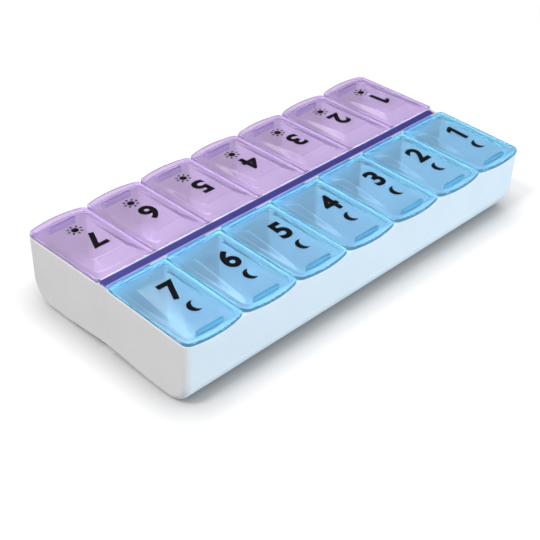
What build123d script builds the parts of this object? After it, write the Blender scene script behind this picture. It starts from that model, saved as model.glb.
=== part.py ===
from build123d import *
import math
import os

# Weekly pill organizer. X runs along the week, +Y is the morning row, -Y the evening row, Z is up.
# The origin is on the surface that the tray stands on, under the tray's centre.

# Rows
days = 7
pitch = 30.0
lid_seam = 0.3
hinge_edge_y = 3.1
lid_reach = 46.6
lid_bulge = 2.2
roof_slope = 1.0
rim_height = 32.8

# Tray
tray_end_margin = 0.2
tray_side_margin = 0.3
side_draft = 0.8
wall = 1.6
floor = 1.6
divider = 1.6
bottom_radius = 12.4
spine_half_width = 4.3
spine_web = 2.2
foot_inner_y = 26.0
centre_rise = 2.2
tray_corner_radius = 3.0
well_heel_radius = 9.0
well_scoop_radius = 9.0
well_corner_radius = 1.5
well_draft = 0.8
well_overshoot = 1.0
rim_edge_radius = 0.4
end_hollow_depth = 0.35
end_hollow_half_width = 4.0

# Lids
lid_thickness = 1.8
lid_corner_radius = 3.2
lid_hinge_corner_radius = 1.2
lid_edge_radius = 0.6
pane_wall = 1.4
pane_side_margin = 2.6
pane_hinge_margin = 3.0
pane_outer_margin = 1.6
pane_hinge_radius = 4.5
pane_outer_radius = 3.0
pane_crest_radius = 1.5
pane_height = 1.6
pane_fade_height = 0.15
pane_ramp = 7.3
pane_hinge_bevel = 3.4
pane_side_bevel = 2.3
pane_outer_bevel = 1.4
catch_length = 14.0
catch_thickness = 1.8
catch_depth = 3.0
catch_clearance = 0.5

# Rails, films and the spine's ribs
rail_thickness = 0.75
rail_end_gap = 0.8
rail_far_gap = 3.8
rail_lap_half = 1.6
rail_edge_y = 2.3
rail_edge_width = 0.6
clip_length = 8.0
clip_thickness = 1.0
clip_clearance = 0.1
clip_barb = 0.3
clip_barb_height = 0.9
film_thickness = 0.3
seam_rib = 1.5
evening_rib = 7.5
film_rib_clearance = 0.15
bead_radius = 0.35
bead_clearance = 0.07
film_notch_clearance = 0.15
rib_clearance = 0.1
rib_lid_clearance = 0.15

# How near an end of an edge has to be to the rim's plane to count as on it
rim_tolerance = 0.001

# Places that follow from the sizes above
row_length = days * pitch
tray_half_length = row_length / 2 + tray_end_margin
tray_half_width = hinge_edge_y + lid_reach + tray_side_margin
lid_half_width = (pitch - lid_seam) / 2
slope = math.tan(math.radians(roof_slope))
draft = math.tan(math.radians(side_draft))
rail_length = row_length - rail_end_gap - rail_far_gap
lap_height = rim_height + rail_thickness
rail_top = lap_height + rail_thickness
axis_y = (rail_edge_y + hinge_edge_y) / 2
axis_z = rail_top - film_thickness / 2
rail_start = rail_end_gap - row_length / 2


def rim_z(y):
    """Height of the tray's rim at a distance y from the centre line."""
    return rim_height - slope * max(0, y - hinge_edge_y)


def side_y(z):
    """Outer face of a long wall at height z."""
    return tray_half_width - draft * (rim_z(tray_half_width) - z)


def bottom_z(y):
    """Underside of the tray, which rises to the centre line between the two feet."""
    return centre_rise * max(0, 1 - y / foot_inner_y)


def profile(points):
    """A closed face in the YZ plane, drawn as (y, z)."""
    return Plane.YZ * make_face(Polyline(*points, close=True))


def rounded(face, point, radius):
    """The face with its corner nearest to (y, z) rounded."""
    corner = face.vertices().sort_by_distance((0, *point))[0]
    return fillet(corner, radius)


def rim_edges(shape):
    """The edges whose ends both lie on the rim's plane."""
    return [e for e in shape.edges() if all(abs(v.Z - rim_z(abs(v.Y))) < rim_tolerance for v in e.vertices())]


def facing(shape, axis):
    """The edges of the faces that look both ways along an axis."""
    groups = shape.faces().filter_by(axis).group_by(axis)
    return groups[0].edges() + groups[-1].edges()


def day_x(day):
    """Centre of a day's lids; day 1 is at the +X end."""
    return row_length / 2 - pitch * (day - 0.5)


def turned(shape):
    """The same shape for the evening row."""
    return shape.rotate(Axis.Z, 180)


# Tray
def tray_block():
    """The tray before it is hollowed: two feet, long radii along the bottom edges, a sloping rim."""
    outer = (side_y(0), 0)
    half = [
        (0, rim_height),
        (hinge_edge_y, rim_height),
        (tray_half_width, rim_z(tray_half_width)),
        outer,
        (foot_inner_y, 0),
        (0, centre_rise),
    ]
    face = rounded(profile(half), outer, bottom_radius)
    block = extrude(face, amount=tray_half_length, both=True)
    block += mirror(block, Plane.XZ)
    ends = facing(block, Axis.X)
    under = [e for e in ends if e.center().Z < rim_z(tray_half_width) - rim_edge_radius]
    block = fillet(under, tray_corner_radius)
    inside_x = tray_half_length - tray_corner_radius
    inside_y = tray_half_width - tray_corner_radius
    rim = [e for e in rim_edges(block) if abs(e.center().X) > inside_x or abs(e.center().Y) > inside_y]
    return fillet(rim, rim_edge_radius)


def well_cutter():
    """The inside of a morning well, open at the top."""
    inner = (spine_half_width, bottom_z(spine_half_width) + floor)
    outer = (side_y(floor) - wall, floor)
    above = rim_height + well_overshoot
    points = [
        (spine_half_width, above),
        (side_y(above) - wall, above),
        outer,
        (foot_inner_y, floor),
        inner,
    ]
    face = rounded(profile(points), outer, bottom_radius - wall)
    face = rounded(face, inner, well_heel_radius)
    cutter = extrude(face, amount=pitch, both=True)
    top_half = (pitch - divider) / 2
    low_half = top_half - math.tan(math.radians(well_draft)) * (rim_height - floor)
    high_half = top_half + math.tan(math.radians(well_draft)) * well_overshoot
    across = [(-low_half, floor), (low_half, floor), (high_half, above), (-high_half, above)]
    scoop = Plane.XZ * make_face(Polyline(*across, close=True))
    scoop = fillet(scoop.vertices().group_by(Axis.Z)[0], well_scoop_radius)
    cutter = cutter & extrude(scoop, amount=-tray_half_width)
    mouth_length = side_y(above) - wall - spine_half_width
    mouth = RectangleRounded(2 * high_half, mouth_length, well_corner_radius)
    mouth = mouth.moved(Location((0, spine_half_width + mouth_length / 2, 0)))
    return cutter & extrude(mouth, amount=above)


def end_hollow(side):
    """A cutter for the shallow hollow down the middle of an end wall."""
    radius = (end_hollow_half_width**2 + end_hollow_depth**2) / (2 * end_hollow_depth)
    cutter = Cylinder(radius, rim_height + well_overshoot, align=(Align.CENTER, Align.CENTER, Align.MIN))
    return cutter.moved(Location((side * (tray_half_length + radius - end_hollow_depth), 0, 0)))


def spine_channel():
    """The hollow under the spine, open at the bottom."""
    length = 2 * (tray_half_length - wall)
    width = 2 * (spine_half_width - wall)
    return Box(length, width, rim_height - spine_web, align=(Align.CENTER, Align.CENTER, Align.MIN))


def clip_slot():
    """Room for a clip through the spine's web and the evening rail."""
    length = clip_length + 2 * clip_clearance
    width = clip_thickness + 2 * clip_clearance
    box = Box(length, width, rail_top - rim_height + spine_web, align=(Align.CENTER, Align.CENTER, Align.MIN))
    return box.moved(Location((0, 0, rim_height - spine_web)))


def rib(x_from, x_to, side):
    """A rib that stands on the spine in the gap between two films."""
    low = rail_edge_y + rib_clearance
    high = hinge_edge_y - rib_lid_clearance
    box = Box(x_to - x_from, high - low, rail_top - rim_height, align=(Align.MIN, Align.CENTER, Align.MIN))
    return box.moved(Location((x_from, side * (low + high) / 2, rim_height)))


def tray():
    body = tray_block()
    well = well_cutter()
    for day in range(1, days + 1):
        at = Location((day_x(day), 0, 0))
        body -= well.moved(at)
        body -= turned(well).moved(at)
    inside_x = tray_half_length - wall / 2
    inside_y = tray_half_width - wall / 2
    mouths = [e for e in rim_edges(body) if abs(e.center().X) < inside_x and abs(e.center().Y) < inside_y]
    mouths = [e for e in mouths if abs(e.center().Y) > spine_half_width - rim_edge_radius]
    body = fillet(mouths, rim_edge_radius)
    body -= end_hollow(1)
    body -= end_hollow(-1)
    body -= spine_channel()
    for day in range(1, days + 1):
        body -= clip_slot().moved(Location((day_x(day), 0, 0)))
    for seam in range(days):
        seam_x = row_length / 2 - pitch * seam
        far = seam_x + seam_rib if seam else seam_x - seam_rib
        body += rib(seam_x - evening_rib, far, -1)
        if seam:
            body += rib(seam_x - seam_rib, far, 1)
    return body


# Rails
def rail_plate(level, side):
    """The lap of a rail at one level, and the edge that carries its films on one side."""
    lap_width = rail_lap_half + rail_edge_y
    lap = Box(rail_length, lap_width, rail_thickness, align=(Align.MIN, Align.MIN, Align.MIN))
    edge = Box(rail_length, rail_edge_width, rail_top - rim_height, align=(Align.MIN, Align.MAX, Align.MIN))
    rail = lap.moved(Location((rail_start, -rail_lap_half, level)))
    rail += edge.moved(Location((rail_start, rail_edge_y, rim_height)))
    return rail if side > 0 else mirror(rail, Plane.XZ)


def pm_hinge_rail():
    rail = rail_plate(rim_height, -1)
    for day in range(1, days + 1):
        rail -= clip_slot().moved(Location((day_x(day), 0, 0)))
    return rail


def am_hinge_rail():
    rail = rail_plate(lap_height, 1)
    barb_top = rim_height - spine_web - clip_clearance
    barb_width = clip_thickness + 2 * clip_clearance + 2 * clip_barb
    barb_face = profile(
        [
            (-barb_width / 2, barb_top),
            (barb_width / 2, barb_top),
            (clip_thickness / 2, barb_top - clip_barb_height),
            (-clip_thickness / 2, barb_top - clip_barb_height),
        ]
    )
    barb = extrude(barb_face, amount=clip_length / 2, both=True)
    stem_height = lap_height - barb_top
    stem = Box(clip_length, clip_thickness, stem_height, align=(Align.CENTER, Align.CENTER, Align.MIN))
    clip = stem.moved(Location((0, 0, barb_top))) + barb
    for day in range(1, days + 1):
        rail += clip.moved(Location((day_x(day), 0, 0)))
    return rail


# Films
def along_x(radius, length):
    """A round bar along +X from the origin."""
    return Cylinder(radius, length, align=(Align.CENTER, Align.CENTER, Align.MIN), rotation=(0, 90, 0))


def film_hinge(x_from, x_to):
    """A film from the rail's edge to a bead on the hinge axis, along part of one lid."""
    length = x_to - x_from
    web = Box(length, axis_y - rail_edge_y, film_thickness, align=(Align.MIN, Align.MIN, Align.MAX))
    bead = along_x(bead_radius, length)
    web = web.moved(Location((x_from, rail_edge_y, rail_top)))
    return web + bead.moved(Location((x_from, axis_y, axis_z)))


# Lids
def pane_face(near_half, far_half, near, far, near_radius, far_radius):
    """A face that is wider or narrower at its outer end, with rounded corners."""
    points = [(-near_half, near), (near_half, near), (far_half, far), (-far_half, far)]
    face = make_face(Polyline(*points, close=True))
    face = fillet(face.vertices().group_by(Axis.Y)[0], near_radius)
    return fillet(face.vertices().group_by(Axis.Y)[-1], far_radius)


def pane(skirt):
    """The raised pane: a ramp and two bevels at the hinge, fading towards the outer edge."""
    half = lid_half_width - pane_side_margin
    near = pane_hinge_margin
    far = lid_reach - pane_outer_margin
    crest = near + pane_ramp
    crest_far = far - pane_outer_bevel
    base = pane_face(half, half, near, far, pane_hinge_radius, pane_outer_radius)
    near_half = half - pane_hinge_bevel
    far_half = half - pane_side_bevel
    top = pane_face(near_half, far_half, crest, crest_far, pane_crest_radius, pane_outer_radius)
    fall = math.degrees(math.atan((pane_height - pane_fade_height) / (crest_far - crest)))
    top = top.moved(Location((0, -crest, 0))).rotate(Axis.X, -fall).moved(Location((0, crest, pane_height)))
    shape = loft([base, top], ruled=True)
    return shape + extrude(base, amount=-skirt)


def lid():
    """A morning lid in its own frame: hinge edge on X, outer edge towards +Y, top at zero."""
    reach = Line((-lid_half_width, 0), (lid_half_width, 0))
    right = Line((lid_half_width, 0), (lid_half_width, lid_reach))
    crown = (0, lid_reach + lid_bulge)
    outer = ThreePointArc((lid_half_width, lid_reach), crown, (-lid_half_width, lid_reach))
    left = Line((-lid_half_width, lid_reach), (-lid_half_width, 0))
    outline = make_face([reach, right, outer, left])
    ends = outline.vertices().group_by(Axis.Y)
    outline = fillet(ends[-1], lid_corner_radius)
    outline = fillet(outline.vertices().group_by(Axis.Y)[0], lid_hinge_corner_radius)
    plate = extrude(outline, amount=-lid_thickness)
    plate = fillet(plate.faces().sort_by(Axis.Z)[-1].edges(), lid_edge_radius)
    under = plate.faces().sort_by(Axis.Z)[0].edges()
    plate = fillet([e for e in under if e.center().Y > lid_reach - lid_corner_radius / 2], lid_edge_radius)
    plate += pane(lid_thickness / 2)
    plate -= pane(lid_thickness).moved(Location((0, 0, -pane_wall)))
    catch_y = side_y(rim_height) - wall - catch_clearance - hinge_edge_y
    catch_root = pane_wall / 2
    catch_height = lid_thickness + catch_depth - catch_root
    catch = Box(catch_length, catch_thickness, catch_height, align=(Align.CENTER, Align.MAX, Align.MAX))
    plate += catch.moved(Location((0, catch_y, -catch_root)))
    return plate


def placed_lid(x_from, x_to):
    """The lid laid on the rim, with room along its hinge edge for a film between two places."""
    shape = lid().moved(Location((0, 0, lid_thickness))).rotate(Axis.X, -roof_slope)
    shape = shape.moved(Location((0, hinge_edge_y, rim_height)))
    length = x_to - x_from + 2 * film_notch_clearance
    start = x_from - film_notch_clearance
    lip_reach = hinge_edge_y - axis_y - film_notch_clearance
    lip_width = lip_reach + lid_edge_radius
    lip = Box(length, lip_width, axis_z - rim_height, align=(Align.MIN, Align.MIN, Align.MIN))
    shape += lip.moved(Location((start, axis_y + film_notch_clearance, rim_height)))
    notch_depth = bead_radius + bead_clearance + film_notch_clearance
    notch = Box(length, 2 * notch_depth, lid_thickness, align=(Align.MIN, Align.CENTER, Align.MIN))
    shape -= notch.moved(Location((start, axis_y, axis_z)))
    groove = along_x(bead_radius + bead_clearance, length)
    shape -= groove.moved(Location((start, axis_y, axis_z)))
    return shape


def write(shape, name):
    export_step(shape, "parts/" + name + ".step")


os.makedirs("parts", exist_ok=True)
write(tray(), "tray")
write(am_hinge_rail(), "am_hinge_rail")
write(pm_hinge_rail(), "pm_hinge_rail")

# A film fills the room between two ribs. The evening ribs are long, and lie towards +X of each evening lid.
film_from = seam_rib + film_rib_clearance - pitch / 2
film_to = pitch / 2 - seam_rib - film_rib_clearance
evening_from = evening_rib + film_rib_clearance - pitch / 2
morning_film = film_hinge(film_from, film_to)
evening_film = turned(film_hinge(evening_from, film_to))
morning_lid = placed_lid(film_from, film_to)
evening_lid = turned(placed_lid(evening_from, film_to))

for day in range(1, days + 1):
    at = Location((day_x(day), 0, 0))
    write(morning_film.moved(at), f"am_film_hinge_{day}")
    write(evening_film.moved(at), f"pm_film_hinge_{day}")
    write(morning_lid.moved(at), f"am_lid_{day}")
    write(evening_lid.moved(at), f"pm_lid_{day}")
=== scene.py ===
import math

import bmesh
import bpy
import numpy as np
from mathutils import Matrix, Vector
from mathutils.bvhtree import BVHTree


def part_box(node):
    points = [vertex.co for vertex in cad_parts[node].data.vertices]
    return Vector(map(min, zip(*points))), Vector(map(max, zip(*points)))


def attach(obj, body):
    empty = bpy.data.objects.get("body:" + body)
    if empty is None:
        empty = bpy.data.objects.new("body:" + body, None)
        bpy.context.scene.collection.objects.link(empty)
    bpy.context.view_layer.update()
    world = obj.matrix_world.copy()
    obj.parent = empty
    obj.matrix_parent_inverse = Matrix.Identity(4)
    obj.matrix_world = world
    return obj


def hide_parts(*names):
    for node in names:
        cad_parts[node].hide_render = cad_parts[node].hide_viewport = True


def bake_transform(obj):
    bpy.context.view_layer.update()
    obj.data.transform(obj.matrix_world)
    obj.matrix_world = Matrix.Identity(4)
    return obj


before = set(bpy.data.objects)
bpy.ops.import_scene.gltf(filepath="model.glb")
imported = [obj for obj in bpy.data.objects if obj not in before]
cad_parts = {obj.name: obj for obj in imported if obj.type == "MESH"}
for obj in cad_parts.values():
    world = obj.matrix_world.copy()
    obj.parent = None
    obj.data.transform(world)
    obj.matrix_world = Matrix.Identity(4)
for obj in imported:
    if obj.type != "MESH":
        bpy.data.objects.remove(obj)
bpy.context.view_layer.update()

# Camera
# It stands in front of the evening row and past the day 7 end, and looks down on both rows of lids.
# Its place, aim and roll come from the seams between the lids, whose real spacing is known.
camera_place = Vector((-0.3163, -0.2962, 0.3107))
camera_aim = Vector((-0.0168, -0.0063, 0.0))
camera_roll = math.radians(1.73)
camera_lens = 76.83

camera = bpy.data.objects.new("camera", bpy.data.cameras.new("camera"))
bpy.context.scene.collection.objects.link(camera)
look = (camera_aim - camera_place).to_track_quat("-Z", "Y").to_matrix()
turn = look @ Matrix.Rotation(camera_roll, 3, "Z")
camera.matrix_world = Matrix.Translation(camera_place) @ turn.to_4x4()
camera.data.lens = camera_lens
bpy.context.scene.camera = camera


# Tray
# The white tray is one polystyrene moulding: fourteen wells, a hollow spine and a low foot on each side.
# Its faces are polished but not mirror flat, so they show a faint ripple and a soft gloss.
well_pitch = 0.030
well_half_x = 0.0142
well_near_y = 0.0070
well_far_y = 0.0480
well_floor_z = 0.0010
well_rim_z = 0.0324
well_middle_y = 0.0270
well_middle_z = 0.0250
tray_dull = (0.665, 0.66, 0.665)
tray_bright = (0.69, 0.685, 0.69)
# The inside of the wells gets painted shade: a darker, cooler white than the rest of the tray.
well_painted_shade = (0.62, 0.635, 0.66)
patch_from = 0.3
patch_to = 0.7
mottle_scale = 45.0
ripple_scale = 160.0
ripple_depth = 0.00004
ripple_strength = 0.35
tray_roughness = 0.30
tray_roughness_spread = 0.10


class Level:
    """What comes out of a node: a number, a colour or a shader. Arithmetic on a number adds Math nodes."""

    def __init__(self, finish, socket):
        self.finish = finish
        self.socket = socket

    def maths(self, operation, *others, clamp=False):
        sockets = {place: value for place, value in enumerate((self, *others))}
        return self.finish.node("ShaderNodeMath", {"operation": operation, "use_clamp": clamp}, sockets)

    def __add__(self, other):
        return self.maths("ADD", other)

    def __sub__(self, other):
        return self.maths("SUBTRACT", other)

    def __rsub__(self, other):
        return self.finish.node("ShaderNodeMath", {"operation": "SUBTRACT"}, {0: other, 1: self})

    def __mul__(self, other):
        return self.maths("MULTIPLY", other)

    def __truediv__(self, other):
        return self.maths("DIVIDE", other)

    __radd__ = __add__
    __rmul__ = __mul__

    def between(self, low, high):
        """Goes from 0 at low to 1 at high, and stays there on both sides."""
        return ((self - low) / (high - low)).maths("ADD", 0.0, clamp=True)

    def patches(self):
        """Noise as soft-edged patches that go from 0 to 1."""
        return self.between(patch_from, patch_to)


class Finish:
    """One material. Its node method adds every node of the material."""

    def __init__(self, name, tree=None):
        self.material = None
        if tree is None:
            self.material = bpy.data.materials.new(name)
            self.material.use_nodes = True
        self.tree = tree or self.material.node_tree
        self.tree.nodes.clear()

    def node(self, kind, settings=None, sockets=None, output=0):
        made = self.tree.nodes.new(kind)
        for name, value in (settings or {}).items():
            setattr(made, name, value)
        for name, value in (sockets or {}).items():
            if isinstance(value, Level):
                self.tree.links.new(value.socket, made.inputs[name])
            else:
                made.inputs[name].default_value = value
        return Level(self, made.outputs[output] if made.outputs else None)

    def grain(self, scale, detail=2.0):
        """Smooth noise around 0.5 with its patches 1 / scale metres apart."""
        at = self.node("ShaderNodeTexCoord", output="Object")
        return self.node("ShaderNodeTexNoise", sockets={"Vector": at, "Scale": scale, "Detail": detail})

    def blend(self, share, first, second):
        """A colour from first, at share 0, to second, at share 1."""
        start, end = (colour if isinstance(colour, Level) else (*colour, 1.0) for colour in (first, second))
        return self.node("ShaderNodeMix", {"data_type": "RGBA"}, {0: share, 6: start, 7: end}, output=2)

    def relief(self, height, depth, strength):
        """A bumped normal from a height between 0 and 1 that stands for a depth in metres."""
        sockets = {"Height": height, "Distance": depth, "Strength": strength}
        return self.node("ShaderNodeBump", sockets=sockets)

    def surface(self, shader, kind="ShaderNodeOutputMaterial", inside=None):
        """Ends the material with its shader and, for clear plastic, with what fills it."""
        sockets = {"Surface": shader}
        if inside is not None:
            sockets["Volume"] = inside
        self.node(kind, sockets=sockets)
        return self.material


def dress(node, material):
    """Gives a carried-over node its finish."""
    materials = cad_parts[node].data.materials
    materials.clear()
    materials.append(material)


def mark_wells(tray):
    """Gives the tray's faces a number, 1 inside a well and 0 elsewhere, where the finish paints shade into
    the wells.
    """
    mesh = tray.data
    inside = mesh.attributes.new("well", "FLOAT", "FACE")
    for face in mesh.polygons:
        x, y, z = face.center
        well_x = round(x / well_pitch) * well_pitch
        to_middle = Vector((well_x - x, math.copysign(well_middle_y, y) - y, well_middle_z - z))
        in_plan = abs(x - well_x) < well_half_x and well_near_y < abs(y) < well_far_y
        in_height = well_floor_z < z < well_rim_z
        inside.data[face.index].value = float(in_plan and in_height and to_middle.dot(face.normal) > 0.0)


def tray_plastic():
    """White plastic, with painted shade inside the wells that draws them a little darker and cooler."""
    white = Finish("tray_white")
    mottle = white.grain(mottle_scale)
    ripple = white.grain(ripple_scale, detail=3.0)
    well = white.node("ShaderNodeAttribute", {"attribute_name": "well"}, output="Fac")
    outside = white.blend(mottle.patches(), tray_dull, tray_bright)
    colour = white.blend(well, outside, well_painted_shade)
    shader = white.node(
        "ShaderNodeBsdfPrincipled",
        sockets={
            "Base Color": colour,
            "Roughness": tray_roughness + tray_roughness_spread * ripple,
            "Normal": white.relief(ripple, ripple_depth, ripple_strength),
        },
    )
    return white.surface(shader)


mark_wells(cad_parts["tray"])
dress("tray", tray_plastic())


# Hinge rails
# Two thin plastic strips lie on the spine, the blue one under the purple one, held by the purple one's
# clips, and each carries its row's films. Where they overlap they look indigo, from both colours together.
days = range(1, 8)
rows = {"am": {"side": 1, "slot": "purple_lids"}, "pm": {"side": -1, "slot": "blue_lids"}}
rows["am"]["rail_colour"] = (0.040, 0.034, 0.255)
rows["pm"]["rail_colour"] = (0.42, 0.40, 0.72)
rail_roughness = 0.28
roughness_spread = 0.10
cloud_dark = 0.85
cloud_light = 1.15
cloud_scale = 90.0
flow_scale = 300.0
flow_depth = 0.00003
flow_strength = 0.4


def opaque_plastic(name, colour, roughness):
    """Coloured plastic that hides what is under it, with a cloudy tone and a fine ripple."""
    plastic = Finish(name)
    cloud = plastic.grain(cloud_scale, detail=3.0)
    flow = plastic.grain(flow_scale)
    deep = tuple(cloud_dark * part for part in colour)
    pale = tuple(cloud_light * part for part in colour)
    shader = plastic.node(
        "ShaderNodeBsdfPrincipled",
        sockets={
            "Base Color": plastic.blend(cloud.patches(), deep, pale),
            "Roughness": roughness + roughness_spread * flow,
            "Normal": plastic.relief(flow, flow_depth, flow_strength),
        },
    )
    return plastic.surface(shader)


for row, values in rows.items():
    dress(row + "_hinge_rail", opaque_plastic(row + "_rail_plastic", values["rail_colour"], rail_roughness))


# Lids
# Each lid is a thin moulded cover with a raised pane, a rounded lip and a catch rib under its outer end.
# All seven of a row are moulded in one strip with the rail, and each one folds about its own film.
# A lid is drawn in millimetres, hinge edge along X, outer end towards +Y, top of its border at zero.
millimetre = 0.001
lid_half = 14.85
lid_reach = 46.6
lid_bulge = 2.19
lid_thickness = 1.8
lid_corners = (1.2, 3.2)
border_inset = 0.9
border_corners = (0.9, 2.6)
seat_gap = 0.05
seat_near = 1.2
seat_far = 2.2
seat_side = 1.6
seat_corners = (1.5, 3.0)
seat_bulge = 1.4
pane_half = 12.25
pane_start = 3.0
pane_end = 45.0
pane_corners = (4.5, 3.0)
pane_bulge = 1.2
pane_wall = 1.3
pane_crown = 0.12
crest_start = 10.3
crest_end = 43.6
crest_near_half = 8.85
crest_far_half = 9.95
crest_corners = (1.5, 3.0)
crest_bulge = 0.6
crest_near_z = 1.6
crest_far_z = 0.15
hollow_shift = 0.6
hollow_inset = 0.5
foot_shift = 0.4
foot_inset = 0.6
foot_corners = (4.0, 3.0)
crest_bend = 1.0
pane_bend = 0.8
lip_bend = 0.6
skirt_bend = 0.5
foot_bend = 0.5
hollow_bend = 0.8
soft_bend = 0.3
tiny = 1e-9
side_steps = 8
bend_steps = 5
crown_rings = 7
first_ring = 0.15
hollow_rings = (0.8, 0.5, 0.2, 0.05)
lid_start_y = 3.1
lid_seat_z = 32.8
lid_slope = math.radians(-1.0)
catch_half = 7.0
catch_from = 42.5
catch_to = 44.1
catch_drop = 2.2
catch_corner = 0.5
catch_steps = 4
catch_sunk = 0.35
catch_round = 0.35
catch_turn = 0.1
catch_top_round = 0.15
catch_roughness = 0.25
catch_top = -pane_wall + crest_far_z + catch_sunk
catch_foot = -lid_thickness - catch_drop
wall_depth = 0.0016
lid_roughness = 0.08
lid_roughness_spread = 0.04
lid_refraction = 1.45
lid_cloud_dark = 0.96
lid_cloud_light = 1.03
lid_cloud_scale = 60.0
lid_flow_scale = 220.0
lid_flow_depth = 0.00002
lid_flow_strength = 0.12
rows["am"].update(tint=(0.915, 0.797, 0.925), depth_tint=(0.810, 0.775, 0.905), haze=0.17)
rows["pm"].update(tint=(0.650, 0.722, 0.875), depth_tint=(0.720, 0.980, 0.995), haze=0.09)
rows["am"]["catch_colour"] = (0.22, 0.14, 0.40)
rows["pm"]["catch_colour"] = (0.08, 0.33, 0.44)


def tinted_plastic(name, tint, depth_tint, haze):
    """Clear coloured plastic. One wall lets through the tint of its faces times the tint of its depth.

    Long ways through it look deeper, as at a lid's edge. Haze is the share of light that it scatters.
    """
    plastic = Finish(name)
    cloud = plastic.grain(lid_cloud_scale, detail=3.0)
    flow = plastic.grain(lid_flow_scale)
    pale = tuple(min(1.0, lid_cloud_light * part) for part in tint)
    deep = tuple(lid_cloud_dark * part for part in tint)
    shader = plastic.node(
        "ShaderNodeBsdfPrincipled",
        sockets={
            "Base Color": plastic.blend(cloud.patches(), deep, pale),
            "Roughness": lid_roughness + lid_roughness_spread * flow,
            "IOR": lid_refraction,
            "Transmission Weight": 1.0 - haze,
            "Normal": plastic.relief(flow, lid_flow_depth, lid_flow_strength),
        },
    )
    lit_tint = tuple(math.sqrt(part) for part in tint)
    open_to_lamps = plastic.node("ShaderNodeBsdfTransparent", sockets={"Color": (*lit_tint, 1.0)})
    lamp_ray = plastic.node("ShaderNodeLightPath", output="Is Shadow Ray")
    through = plastic.node("ShaderNodeMixShader", sockets={"Fac": lamp_ray, 1: shader, 2: open_to_lamps})
    deepest = min(depth_tint)
    density = -math.log(deepest) / wall_depth
    kept = tuple(1.0 - math.log(part) / math.log(deepest) for part in depth_tint)
    depth = plastic.node("ShaderNodeVolumeAbsorption", sockets={"Color": (*kept, 1.0), "Density": density})
    return plastic.surface(through, inside=depth)


def lid_loop(ends, halves, corners, bulge, heights=(0.0, 0.0)):
    """One closed loop round a lid: straight hinge side, arched outer side and rounded corners.

    Each pair of values is for the hinge side and the outer side. The two heights tilt the loop's plane.
    """
    near, far = ends
    near_half, far_half = halves
    near_radius, far_radius = corners
    near_z, far_z = heights
    half = max(near_half, far_half)
    points = []

    def line(start, end, count):
        for step in range(count):
            points.append(np.array(start) + (np.array(end) - np.array(start)) * step / count)

    def arc(centre, radius, begin, until, count):
        for step in range(count):
            angle = begin + (until - begin) * step / count
            points.append(np.array(centre) + radius * np.array((math.cos(angle), math.sin(angle))))

    line((near_radius - half, near), (half - near_radius, near), 2 * side_steps)
    arc((half - near_radius, near + near_radius), near_radius, -math.pi / 2, 0.0, side_steps)
    arch = (half**2 + bulge**2) / (2 * bulge)
    arch_y = far + bulge - arch
    corner_x = half - far_radius
    corner_y = arch_y + math.sqrt((arch - far_radius) ** 2 - corner_x**2)
    lean = math.atan2(corner_y - arch_y, corner_x)
    line((half, near + near_radius), (half, corner_y), 3 * side_steps)
    arc((corner_x, corner_y), far_radius, 0.0, lean, side_steps)
    arc((0.0, arch_y), arch, lean, math.pi - lean, 3 * side_steps)
    arc((-corner_x, corner_y), far_radius, math.pi - lean, math.pi, side_steps)
    line((-half, corner_y), (-half, near + near_radius), 3 * side_steps)
    arc((near_radius - half, near + near_radius), near_radius, math.pi, 1.5 * math.pi, side_steps)
    flat = np.array(points)
    along = (flat[:, 1] - near) / (far - near)
    width = (near_half + (far_half - near_half) * along) / half
    height = near_z + (far_z - near_z) * along
    return np.column_stack((flat[:, 0] * width, flat[:, 1], height))


def soften(loops, bends):
    """The loops with a rounded bend in place of each inner one, of the size that bends gives it."""
    smooth = [loops[0]]
    for before, here, after, size in zip(loops, loops[1:], loops[2:], bends):
        back = before - here
        ahead = after - here
        back_share = np.minimum(0.5, size / np.maximum(np.linalg.norm(back, axis=1), tiny))[:, None]
        ahead_share = np.minimum(0.5, size / np.maximum(np.linalg.norm(ahead, axis=1), tiny))[:, None]
        start = here + back * back_share
        end = here + ahead * ahead_share
        for step in range(bend_steps + 1):
            t = step / bend_steps
            smooth.append((1 - t) ** 2 * start + 2 * t * (1 - t) * here + t**2 * end)
    smooth.append(loops[-1])
    return smooth


def skin(loops):
    """Vertices and faces of a closed skin through loops of equal length, capped at both ends."""
    count = len(loops[0])
    vertices = [tuple(point) for loop in loops for point in loop]
    faces = []
    for ring in range(len(loops) - 1):
        for step in range(count):
            after = (step + 1) % count
            low = ring * count
            faces.append((low + step, low + count + step, low + count + after, low + after))
    faces.append(tuple(range(count)))
    last = (len(loops) - 1) * count
    faces.append(tuple(reversed(range(last, last + count))))
    return vertices, faces


def crowned(loop, share):
    """The loop drawn in towards its middle to a share of its size, and lifted onto the pane's crown."""
    middle = (loop.min(axis=0) + loop.max(axis=0)) / 2
    inner = middle + (loop - middle) * share
    inner[:, 2] += pane_crown * (1 - share**2)
    return inner


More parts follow.
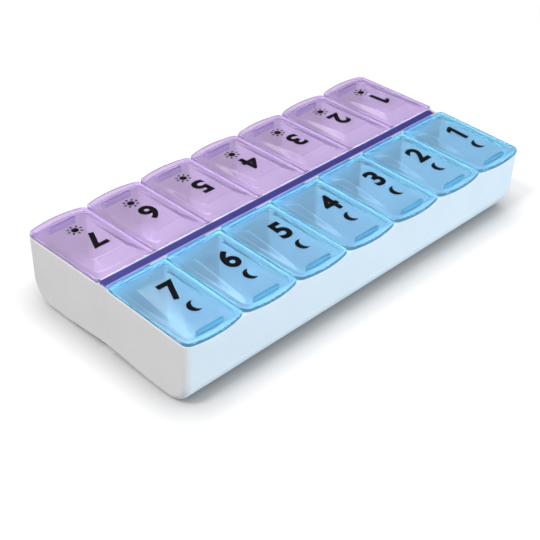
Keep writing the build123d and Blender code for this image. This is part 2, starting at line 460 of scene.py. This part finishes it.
def lid_shell():
    """Vertices and faces of a lid, from its pane's middle over the lip to the middle of its underside.

    Each loop in between comes with the size of its rounded bend. The foot is where the hollow starts.
    """
    reach = (0.0, lid_reach)
    level = seat_gap - lid_thickness
    hollow_ends = (crest_start - hollow_shift, crest_end)
    hollow_halves = (crest_near_half - hollow_inset, crest_far_half - hollow_inset)
    hollow_heights = (crest_near_z - pane_wall, crest_far_z - pane_wall)
    foot_ends = (pane_start - foot_shift, pane_end - foot_inset)
    foot_half = pane_half - foot_inset
    seat_ends = (seat_near, lid_reach - seat_far)
    seat_half = lid_half - seat_side
    border_ends = (border_inset, lid_reach - border_inset)
    border_half = lid_half - border_inset
    crest_ends = (crest_start, crest_end)
    crest_halves = (crest_near_half, crest_far_half)
    crest = lid_loop(crest_ends, crest_halves, crest_corners, crest_bulge, (crest_near_z, crest_far_z))
    hollow = lid_loop(hollow_ends, hollow_halves, crest_corners, crest_bulge, hollow_heights)
    bent = [
        (crest, crest_bend),
        (lid_loop((pane_start, pane_end), (pane_half,) * 2, pane_corners, pane_bulge), pane_bend),
        (lid_loop(border_ends, (border_half,) * 2, border_corners, lid_bulge), soft_bend),
        (lid_loop(reach, (lid_half,) * 2, lid_corners, lid_bulge), lip_bend),
        (lid_loop(reach, (lid_half,) * 2, lid_corners, lid_bulge, (level,) * 2), skirt_bend),
        (lid_loop(seat_ends, (seat_half,) * 2, seat_corners, seat_bulge, (level,) * 2), soft_bend),
        (lid_loop(foot_ends, (foot_half,) * 2, foot_corners, pane_bulge, (-pane_wall,) * 2), foot_bend),
        (hollow, hollow_bend),
    ]
    outer = [crowned(crest, (ring + first_ring) / crown_rings) for ring in range(crown_rings)]
    inner = [crowned(hollow, share) for share in hollow_rings]
    bends = [soft_bend] * (len(outer) - 1) + [size for loop, size in bent] + [soft_bend] * (len(inner) - 1)
    return skin(soften(outer + [loop for loop, size in bent] + inner, bends))


def lid_place(side, day_x):
    """Turns a lid in millimetres into its place on the rim, in metres."""
    rim = Matrix.Translation((0, lid_start_y, lid_seat_z)) @ Matrix.Rotation(lid_slope, 4, "X")
    half_turn = Matrix.Identity(4) if side > 0 else Matrix.Rotation(math.pi, 4, "Z")
    real = Matrix.Scale(millimetre, 4) @ half_turn @ rim @ Matrix.Translation((0, 0, lid_thickness))
    return Matrix.Translation((day_x, 0, 0)) @ real


def mesh_piece(name, vertices, faces, material, place=None):
    """A smooth-shaded object at the origin whose place is in its mesh."""
    mesh = bpy.data.meshes.new(name)
    mesh.from_pydata(vertices, [], faces)
    if place is not None:
        mesh.transform(place)
    mesh.materials.append(material)
    mesh.validate()
    for face in mesh.polygons:
        face.use_smooth = True
    piece = bpy.data.objects.new(name, mesh)
    bpy.context.scene.collection.objects.link(piece)
    return piece


def day_centre(node):
    """Where the middle of a node lies along the row."""
    low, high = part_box(node)
    return (low.x + high.x) / 2


def catch_bar():
    """The catch: a bar with rounded corners and edges, seated in the pane's underside."""
    loops = []
    middle = (catch_from + catch_to) / 2
    half_width = (catch_to - catch_from) / 2
    edges = [
        (catch_foot, catch_round),
        (catch_foot + catch_turn, catch_turn),
        (catch_foot + catch_round, 0.0),
        (catch_top - catch_top_round, 0.0),
        (catch_top, catch_top_round),
    ]
    for height, inset in edges:
        loop = []
        for corner, (way_x, way_y) in enumerate([(1, -1), (1, 1), (-1, 1), (-1, -1)]):
            for step in range(catch_steps + 1):
                angle = (corner - 1 + step / catch_steps) * math.pi / 2
                x = way_x * (catch_half - catch_corner) + (catch_corner - inset) * math.cos(angle)
                y = way_y * (half_width - catch_corner) + (catch_corner - inset) * math.sin(angle)
                loop.append((x, middle + y, height))
        loops.append(np.array(loop))
    return skin(loops)


shell_vertices, shell_faces = lid_shell()
catch_vertices, catch_faces = catch_bar()
for row, values in rows.items():
    lid_plastic = tinted_plastic(row + "_plastic", values["tint"], values["depth_tint"], values["haze"])
    catch_plastic = opaque_plastic(row + "_catch_plastic", values["catch_colour"], catch_roughness)
    for day in days:
        node = f"{row}_lid_{day}"
        place = lid_place(values["side"], day_centre(node))
        lid = mesh_piece(node + "_cover", shell_vertices, shell_faces, lid_plastic, place)
        catch = mesh_piece(node + "_catch", catch_vertices, catch_faces, catch_plastic, place)
        for piece in (lid, catch):
            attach(piece, node)
            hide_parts(node)


# Film hinges
# One thin film of the strip's own plastic joins each lid to its rail, over most of the lid's width.
# Its middle is thinned to a groove, on the line where the real film folds; the purple ones are painted pale,
# as a painted highlight along them.
film_near = 2.27
film_far = 3.14
film_fold_y = 2.70
film_fold_half = 0.16
film_low = 34.02
film_high = 34.30
film_groove = 0.06
film_steps = 16
film_sections = 12
film_roughness = 0.22
# The purple films' pale colour is a painted highlight; the blue films have their own colour.
rows["am"]["film_colour"] = (0.80, 0.74, 0.93)
rows["pm"]["film_colour"] = (0.10, 0.30, 0.70)


def film_strip(x_from, x_to, side):
    """A film in metres: a flat strip from inside the rail's edge to inside the lid's, thin in the middle."""
    across = [film_near + (film_far - film_near) * step / film_steps for step in range(film_steps + 1)]
    fold = [math.exp(-(((y - film_fold_y) / film_fold_half) ** 2)) for y in across]
    over = [(y, film_high - film_groove * depth) for y, depth in zip(across, fold)]
    under = [(y, film_low + film_groove * depth) for y, depth in zip(across, fold)]
    outline = under + over[::-1] if side > 0 else over + under[::-1]
    loops = []
    for step in range(film_sections + 1):
        x = x_from + (x_to - x_from) * step / film_sections
        loops.append(np.array([(x, side * y * millimetre, z * millimetre) for y, z in outline]))
    return skin(loops)


for row, values in rows.items():
    film_plastic = opaque_plastic(row + "_film_plastic", values["film_colour"], film_roughness)
    for day in days:
        node = f"{row}_film_hinge_{day}"
        low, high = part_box(node)
        vertices, faces = film_strip(low.x, high.x, values["side"])
        film = mesh_piece(node + "_strip", vertices, faces, film_plastic)
        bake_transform(film)
        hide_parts(node)


# Printed marks
# Black ink on each pane: the day's number, counted from day 1 at the +X end, and under it a small sign.
# The morning row has a sun and the evening row a crescent moon. Both rows are read from their own side.
# Marks are drawn in millimetres, round the origin, and then laid on the pane.
ink_gap = 0.008
ink_thickness = 0.035
ink_dark = (0.003, 0.003, 0.004)
ink_worn = (0.009, 0.008, 0.011)
ink_roughness = 0.45
ink_roughness_spread = 0.15
ink_gloss = 0.05
wear_scale = 900.0
wear_from = 0.3
wear_to = 0.75
mark_half = 0.5
above_pane = 10.0
numeral_size = 15.0
numeral_weight = 0.55
numeral_curve_steps = 12
one_outline = [(1.7, -5.9), (1.7, 5.9), (-0.2, 5.9), (-3.0, 4.0), (-3.0, 1.7), (-0.7, 3.0), (-0.7, -5.9)]
sun_sizes = {"Disc": 1.65, "Ray Middle": 2.95, "Ray Length": 1.3, "Ray Width": 0.75, "Rays": 8}
sun_disc_sides = 48
moon_radius = 3.3
moon_tip_x = 1.3
moon_bite = 1.1
moon_steps = 40
same_point = 0.0005
rows["am"].update(number_at=(0.8, 21.8), sign_at=(-0.2, 33.4))
rows["pm"].update(number_at=(-2.0, 19.6), sign_at=(-2.4, 32.0))


def printed(vertices, faces, name, place):
    """A mark drawn flat in the lid's millimetres, laid on the pane as a thin film of ink."""
    laid = []
    for x, y, z in vertices:
        hit = pane_surface.ray_cast(Vector((x, y, above_pane)), Vector((0.0, 0.0, -1.0)))[0]
        laid.append((x, y, hit.z + ink_gap + (ink_thickness if z > 0 else 0.0)))
    return mesh_piece(name, laid, faces, ink, place)


def mesh_parts(made):
    """Vertices and faces of an object's evaluated mesh; the object is removed."""
    ready = made.evaluated_get(bpy.context.evaluated_depsgraph_get())
    mesh = bpy.data.meshes.new_from_object(ready)
    merged = bmesh.new()
    merged.from_mesh(mesh)
    bmesh.ops.remove_doubles(merged, verts=merged.verts, dist=same_point)
    bmesh.ops.recalc_face_normals(merged, faces=merged.faces)
    merged.to_mesh(mesh)
    merged.free()
    bpy.data.objects.remove(made)
    return [tuple(vertex.co) for vertex in mesh.vertices], [tuple(face.vertices) for face in mesh.polygons]


def number_one():
    """A bold 1 with a flag, because the built-in one is a bare bar."""
    count = len(one_outline)
    vertices = [(x, y, z) for z in (-mark_half, mark_half) for x, y in one_outline]
    sides = [(i, (i + 1) % count, (i + 1) % count + count, i + count) for i in range(count)]
    return vertices, sides + [tuple(reversed(range(count))), tuple(range(count, 2 * count))]


def numeral(day):
    """The day's number in bold."""
    if day == 1:
        return number_one()
    letters = bpy.data.curves.new("numeral", "FONT")
    letters.body = str(day)
    letters.size = numeral_size
    letters.extrude = mark_half
    letters.bevel_depth = numeral_weight
    letters.bevel_resolution = 0
    letters.resolution_u = numeral_curve_steps
    made = bpy.data.objects.new("numeral", letters)
    bpy.context.scene.collection.objects.link(made)
    vertices, faces = mesh_parts(made)
    corners = np.array(vertices)
    corners[:, :2] -= (corners[:, :2].min(axis=0) + corners[:, :2].max(axis=0)) / 2
    return corners, faces


def sun_tree():
    """Geometry Nodes for a sun: a disc and rays round it."""
    tree = bpy.data.node_groups.new("sun", "GeometryNodeTree")
    for name, size in sun_sizes.items():
        kind = "NodeSocketInt" if isinstance(size, int) else "NodeSocketFloat"
        tree.interface.new_socket(name, in_out="INPUT", socket_type=kind)
    tree.interface.new_socket("Ink", in_out="INPUT", socket_type="NodeSocketMaterial")
    tree.interface.new_socket("Mesh", in_out="OUTPUT", socket_type="NodeSocketGeometry")
    given = tree.nodes.new("NodeGroupInput").outputs

    def step(kind, settings=None, sockets=None):
        made = tree.nodes.new(kind)
        for name, value in (settings or {}).items():
            setattr(made, name, value)
        for name, value in (sockets or {}).items():
            for source in value if isinstance(value, list) else [value]:
                if isinstance(source, bpy.types.NodeSocket):
                    tree.links.new(source, made.inputs[name])
                else:
                    made.inputs[name].default_value = source
        return made.outputs

    depth = 2 * mark_half
    round_disc = {"Vertices": sun_disc_sides, "Radius": given["Disc"], "Depth": depth}
    disc = step("GeometryNodeMeshCylinder", sockets=round_disc)
    long_bar = {"X": given["Ray Length"], "Y": given["Ray Width"], "Z": depth}
    bar = step("ShaderNodeCombineXYZ", sockets=long_bar)
    ray = step("GeometryNodeMeshCube", sockets={"Size": bar[0]})
    ring = step("GeometryNodeMeshCircle", sockets={"Vertices": given["Rays"], "Radius": given["Ray Middle"]})
    from_middle = step("GeometryNodeInputPosition")
    outward = step("FunctionNodeAlignRotationToVector", {"axis": "X"}, {"Vector": from_middle[0]})
    spread = {"Points": ring["Mesh"], "Instance": ray["Mesh"], "Rotation": outward[0]}
    rays = step("GeometryNodeInstanceOnPoints", sockets=spread)
    whole = step("GeometryNodeJoinGeometry", sockets={"Geometry": [disc["Mesh"], rays["Instances"]]})
    real = step("GeometryNodeRealizeInstances", sockets={"Geometry": whole[0]})
    inked = step("GeometryNodeSetMaterial", sockets={"Geometry": real[0], "Material": given["Ink"]})
    tree.links.new(inked[0], tree.nodes.new("NodeGroupOutput").inputs["Mesh"])
    return tree


def sun():
    """A disc with rays round it."""
    made = bpy.data.objects.new("sun", bpy.data.meshes.new("sun"))
    bpy.context.scene.collection.objects.link(made)
    modifier = made.modifiers.new("sun", "NODES")
    modifier.node_group = sun_tree()
    wanted = {**sun_sizes, "Ink": ink}
    for item in modifier.node_group.interface.items_tree:
        if item.name in wanted:
            modifier[item.identifier] = wanted[item.name]
    return mesh_parts(made)


def moon():
    """A crescent between two arcs with common tips."""
    vertices = []
    tip = math.acos(moon_tip_x / moon_radius)
    bite_centre = moon_tip_x + moon_bite
    bite_radius = math.hypot(moon_tip_x - bite_centre, moon_radius * math.sin(tip))
    bite_tip = math.acos((moon_tip_x - bite_centre) / bite_radius)
    for step in range(moon_steps + 1):
        share = step / moon_steps
        outer = tip + (2 * math.pi - 2 * tip) * share
        inner = bite_tip + (2 * math.pi - 2 * bite_tip) * share
        edge = (moon_radius * math.cos(outer), moon_radius * math.sin(outer))
        bite = (bite_centre + bite_radius * math.cos(inner), bite_radius * math.sin(inner))
        vertices += [(*point, z) for z in (mark_half, -mark_half) for point in (edge, bite)]
    faces = []
    for step in range(moon_steps):
        a, b, c, d = range(4 * step, 4 * step + 4)
        faces += [(a, b, b + 4, a + 4), (c, c + 4, d + 4, d), (a, a + 4, c + 4, c), (b, d, d + 4, b + 4)]
    crescent = bpy.data.meshes.new("moon")
    crescent.from_pydata(vertices, [], faces)
    made = bpy.data.objects.new("moon", crescent)
    bpy.context.scene.collection.objects.link(made)
    return mesh_parts(made)


def turned(mark, centre):
    """A mark turned to be read from the lid's outer end, with its middle at a place on the lid."""
    vertices, faces = mark
    return [(centre[0] - x, centre[1] - y, z) for x, y, z in vertices], faces


def ink_black():
    """Black ink, thin enough that the lamps still reach the well under it."""
    black = Finish("ink_black")
    wear = black.grain(wear_scale, detail=3.0)
    colour = black.blend(wear.between(wear_from, wear_to), ink_dark, ink_worn)
    roughness = ink_roughness + ink_roughness_spread * wear
    sockets = {"Base Color": colour, "Roughness": roughness, "Specular IOR Level": ink_gloss}
    shader = black.node("ShaderNodeBsdfPrincipled", sockets=sockets)
    lamp_ray = black.node("ShaderNodeLightPath", output="Is Shadow Ray")
    clear = black.node("ShaderNodeBsdfTransparent")
    return black.surface(black.node("ShaderNodeMixShader", sockets={"Fac": lamp_ray, 1: shader, 2: clear}))


ink = ink_black()
pane_surface = BVHTree.FromPolygons(shell_vertices, shell_faces)
signs = {"am": sun(), "pm": moon()}
for row, values in rows.items():
    for day in days:
        node = f"{row}_lid_{day}"
        place = lid_place(values["side"], day_centre(node))
        number = printed(*turned(numeral(day), values["number_at"]), node + "_number", place)
        sign = printed(*turned(signs[row], values["sign_at"]), node + "_sign", place)
        for mark in (number, sign):
            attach(mark, node)


# Floor and light
# A white table top in a pale room, a soft box high past the day 7 end, a low cool one in front and a weak
# one behind for glints. The camera sees the table near white, part of it by its own glow, so the shadow
# stays light and narrow. What the table sends back to the tray is a plain pale grey.
table_half = 3.0
table_back = 0.55
table_seen = 1.20
glow_share = 0.78
shade_power = 1.3
shade_reach = 0.017
shade_samples = 24
room_colour = (1.0, 0.99, 0.98, 1.0)
room_light = 0.10
window_light = 0.16
window_from = -0.5
window_to = 0.6
backdrop = 0.95
lamp_target = Vector((0.0, 0.0, 0.03))


def seen_by_camera(finish):
    """1 for what the camera sees, also through the lids, and 0 for rays that carry light to the tray."""
    straight = finish.node("ShaderNodeLightPath", output="Is Camera Ray")
    through = finish.node("ShaderNodeLightPath", output="Is Transmission Ray")
    scattered = finish.node("ShaderNodeLightPath", output="Diffuse Depth").between(0.0, 1.0)
    return (straight + through) * (1.0 - scattered)


def white_table():
    """A pale table top, with a glow that fades where little of the sky reaches it."""
    top = Finish("table_white")
    seen = seen_by_camera(top)
    near = {"Distance": shade_reach}
    open_sky = top.node("ShaderNodeAmbientOcclusion", {"samples": shade_samples}, near, output="AO")
    lit = top.node("ShaderNodeBsdfDiffuse", sockets={"Color": table_back + (table_seen - table_back) * seen})
    glow = top.node("ShaderNodeEmission", sockets={"Strength": open_sky.maths("POWER", shade_power)})
    return top.surface(top.node("ShaderNodeMixShader", sockets={"Fac": glow_share * seen, 1: lit, 2: glow}))


def light_room():
    """A pale room, lighter towards the morning row, that the camera sees as white."""
    world = bpy.data.worlds.new("room")
    world.use_nodes = True
    bpy.context.scene.world = world
    room = Finish("room", world.node_tree)
    toward = room.node("ShaderNodeTexCoord", output="Generated")
    along_y = room.node("ShaderNodeSeparateXYZ", sockets={"Vector": toward}, output="Y")
    light = room_light + window_light * along_y.between(window_from, window_to)
    sky = {"Color": room_colour, "Strength": light + backdrop * seen_by_camera(room)}
    room.surface(room.node("ShaderNodeBackground", sockets=sky), "ShaderNodeOutputWorld")


def soft_box(name, place, width, height, power, colour):
    """A rectangular lamp that looks at the middle of the tray."""
    lamp = bpy.data.lights.new(name, "AREA")
    lamp.shape = "RECTANGLE"
    lamp.size = width
    lamp.size_y = height
    lamp.energy = power
    lamp.color = colour
    holder = bpy.data.objects.new(name, lamp)
    bpy.context.scene.collection.objects.link(holder)
    place = Vector(place)
    aim = lamp_target - place
    holder.matrix_world = Matrix.Translation(place) @ aim.to_track_quat("-Z", "Y").to_matrix().to_4x4()


table_corners = [(-1, -1), (1, -1), (1, 1), (-1, 1)]
table_points = [(table_half * x, table_half * y, 0.0) for x, y in table_corners]
table = mesh_piece("table", table_points, [(0, 1, 2, 3)], white_table())
light_room()
key_colour = (1.0, 0.985, 0.985)
front_colour = (0.63, 0.84, 1.0)
glint_colour = (1.0, 1.0, 1.0)
soft_box("key", (-0.92, -0.02, 1.36), width=0.28, height=0.28, power=23.5, colour=key_colour)
soft_box("front", (0.45, -1.05, 0.16), width=1.2, height=0.25, power=16.0, colour=front_colour)
soft_box("glint", (0.57, 1.12, 1.56), width=0.7, height=0.5, power=3.0, colour=glint_colour)

bpy.context.scene.view_settings.view_transform = "Standard"
